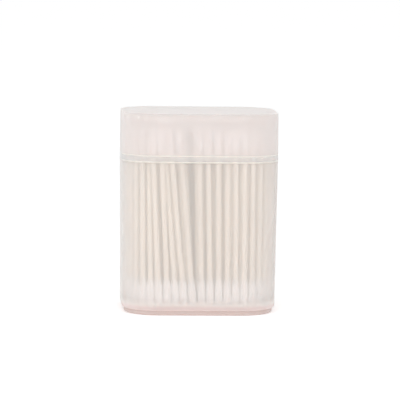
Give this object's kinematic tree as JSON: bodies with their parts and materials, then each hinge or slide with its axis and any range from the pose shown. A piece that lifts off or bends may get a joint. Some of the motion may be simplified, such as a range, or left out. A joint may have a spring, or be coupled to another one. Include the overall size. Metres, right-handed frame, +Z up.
{
  "type": "cotton swab tub",
  "caption": "Frosted plastic tub with rounded corners and a deep pull-off lid, filled with upright cotton swabs.",
  "frame": {"origin": "on the surface the foot rests on, below the middle of the tub", "axes": "+Z up along the tub, +X to the right along its wide side, the front faces -Y"},
  "size_m": [0.067, 0.05, 0.0856],
  "materials": {
    "frosted_tub": "satin",
    "frosted_lid": "satin",
    "cotton_and_paper": "matte"
  },
  "bodies": {
    "tub_body": {"tub": "frosted_tub", "outer_swabs": "cotton_and_paper", "inner_swabs": "cotton_and_paper"},
    "lid_body": {"lid": "frosted_lid"}
  },
  "joints": [
    {"name": "lid_lift", "type": "slide", "parent": "tub_body", "child": "lid_body", "axis": [0, 0, 1], "range_m": [0, 0.03]}
  ]
}
